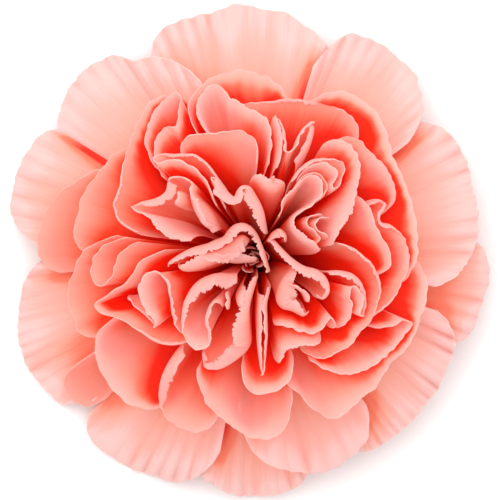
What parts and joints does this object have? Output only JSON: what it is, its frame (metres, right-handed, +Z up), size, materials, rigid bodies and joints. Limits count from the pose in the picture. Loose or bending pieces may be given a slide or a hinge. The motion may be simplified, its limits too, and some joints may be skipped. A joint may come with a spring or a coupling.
{
  "type": "carnation bloom",
  "caption": "Double carnation bloom cut under its green calyx, face up: ruffled salmon-pink petals folded in a dome over paler drooping guard petals.",
  "frame": {"origin": "middle of the cut across the stalk under the calyx, on the surface that the bloom rests on", "axes": "+Z up along the flower's axis, through the middle of the bloom; +Y towards the tall fan of petals at the top when seen from above, +X to the right of it"},
  "size_m": [0.0781, 0.0805, 0.0466],
  "materials": {
    "petal_crown": "matt petal tissue, salmon to coral with pale edges",
    "petal_collar": "matt petal tissue, salmon pink",
    "petal_guard": "matt petal tissue, very pale pink, slightly translucent",
    "calyx": "waxy green plant tissue",
    "bract": "waxy green plant tissue",
    "stalk": "cut green stalk",
    "pistil": "moist pale tissue"
  },
  "bodies": {
    "root": {"bract_1": "bract", "bract_2": "bract", "bract_3": "bract", "bract_4": "bract", "calyx": "calyx", "petal_collar_left": "petal_collar", "petal_collar_left_fold": "petal_collar", "petal_collar_left_outer": "petal_collar", "petal_collar_left_upper": "petal_collar", "petal_collar_low_left": "petal_collar", "petal_crown_double_fold": "petal_crown", "petal_crown_top": "petal_crown", "petal_crown_top_fold": "petal_crown", "petal_crown_top_lip": "petal_crown", "petal_cup_left": "petal_crown", "petal_cup_right": "petal_crown", "petal_cup_right_fold": "petal_crown", "petal_cup_right_inner": "petal_crown", "petal_front_left_large": "petal_crown", "petal_front_left_lip": "petal_crown", "petal_front_lip": "petal_crown", "petal_guard_bottom": "petal_guard", "petal_guard_fold_low": "petal_guard", "petal_guard_left": "petal_guard", "petal_guard_left_low": "petal_guard", "petal_guard_low_left": "petal_guard", "petal_guard_low_right": "petal_guard", "petal_guard_right": "petal_guard", "petal_guard_right_low": "petal_guard", "petal_guard_top": "petal_guard", "petal_guard_upper_left": "petal_guard", "petal_guard_upper_right": "petal_guard", "petal_hairpin_upper_left": "petal_crown", "petal_hood": "petal_crown", "petal_left_loop": "petal_crown", "petal_left_point": "petal_crown", "petal_left_zigzag": "petal_crown", "petal_low_lip": "petal_crown", "petal_low_outer": "petal_crown", "petal_low_pointed": "petal_crown", "petal_low_right_fold": "petal_crown", "petal_low_right_outer": "petal_crown", "petal_low_right_wing": "petal_crown", "petal_low_wave": "petal_crown", "petal_middle_hairpin": "petal_crown", "petal_middle_left": "petal_crown", "petal_middle_left_lip": "petal_crown", "petal_nest_slot": "petal_crown", "petal_nest_upper_right": "petal_crown", "petal_right_curl": "petal_crown", "petal_right_lip": "petal_crown", "petal_right_long_fold": "petal_crown", "petal_right_pale": "petal_crown", "petal_shoulder_upper_left": "petal_crown", "petal_shoulder_upper_right": "petal_crown", "petal_upper_fold": "petal_crown", "petal_upper_left_arch": "petal_crown", "petal_upper_left_lip": "petal_crown", "pistil": "pistil", "receptacle": "stalk"}
  },
  "joints": []
}
